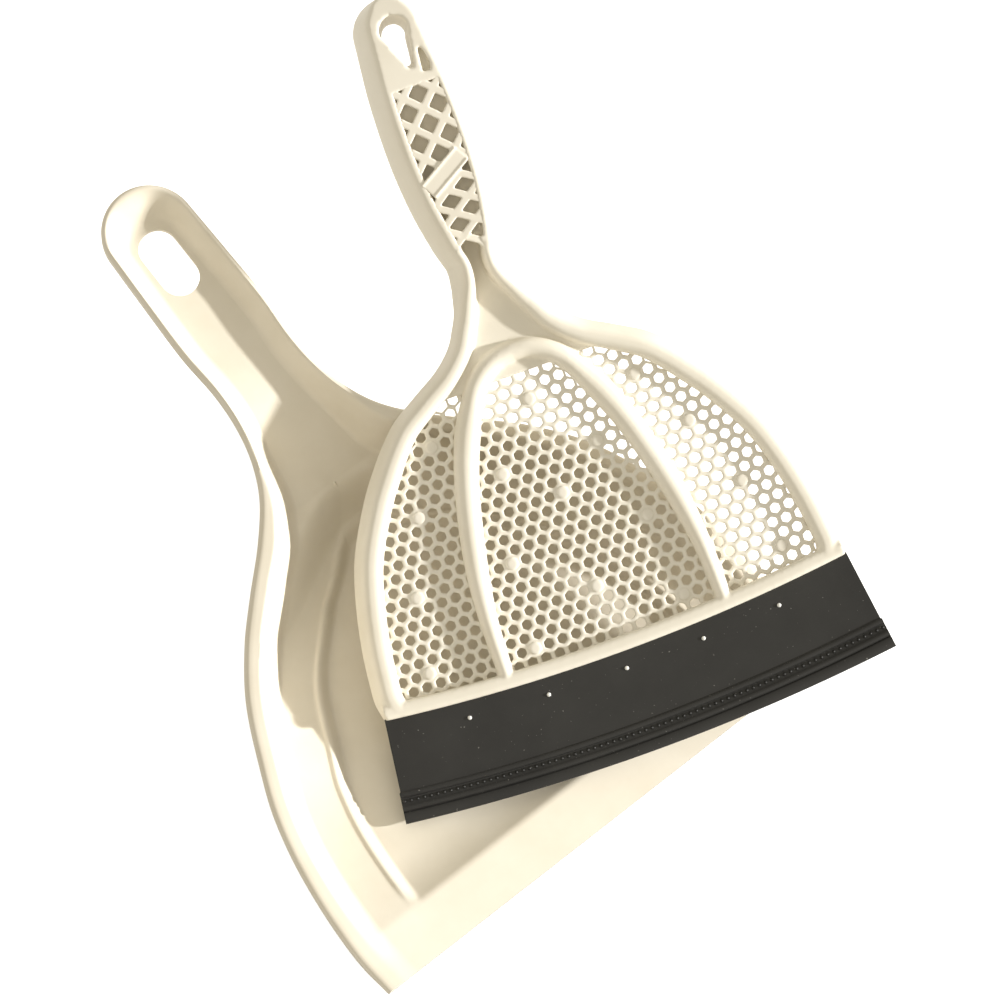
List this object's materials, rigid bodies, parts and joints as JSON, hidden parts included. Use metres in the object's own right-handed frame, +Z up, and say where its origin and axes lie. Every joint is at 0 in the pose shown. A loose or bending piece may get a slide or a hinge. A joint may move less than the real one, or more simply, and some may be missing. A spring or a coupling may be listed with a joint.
{
  "type": "dust pan and hand broom set",
  "caption": "Dust pan with a deep rounded bowl and trough handle, and a hand broom with a domed honeycomb mesh head, lattice grip and rubber blade.",
  "frame": {"origin": "middle of the flat underside of the pan's well, where the pan stands", "axes": "+Z up out of the pan, +Y from the pan's lip to its handle, +X to the right as seen from above with the handle away"},
  "size_m": [0.2891, 0.3682, 0.1193],
  "materials": {
    "pan_plastic": "satin cream moulded plastic",
    "brush_plastic": "satin cream moulded plastic",
    "mesh_plastic": "satin cream moulded plastic",
    "blade_rubber": "smooth black rubber, moulded ridges",
    "pin_plastic": "small bright moulded nubs"
  },
  "bodies": {
    "pan": {"pan_body": "pan_plastic"},
    "brush": {"brush_frame": "brush_plastic", "brush_handle": "brush_plastic", "grip_lattice": "brush_plastic", "left_mesh_panel": "mesh_plastic", "centre_mesh_panel": "mesh_plastic", "right_mesh_panel": "mesh_plastic", "blade_root": "blade_rubber", "blade_pins": "pin_plastic"},
    "blade": {"sweeper_blade": "blade_rubber"}
  },
  "joints": [
    {"name": "brush_lift", "type": "slide", "parent": "pan", "child": "brush", "axis": [0, 0, 1], "range_m": [0, 0.15]},
    {"name": "blade_flex", "type": "hinge", "parent": "brush", "child": "blade", "pos_m": [0.04535, -0.07178, 0.02617], "axis": [-0.935, 0.3316, -0.1257], "range_deg": [0, 35], "stiffness_Nm_per_rad": 0.4}
  ]
}
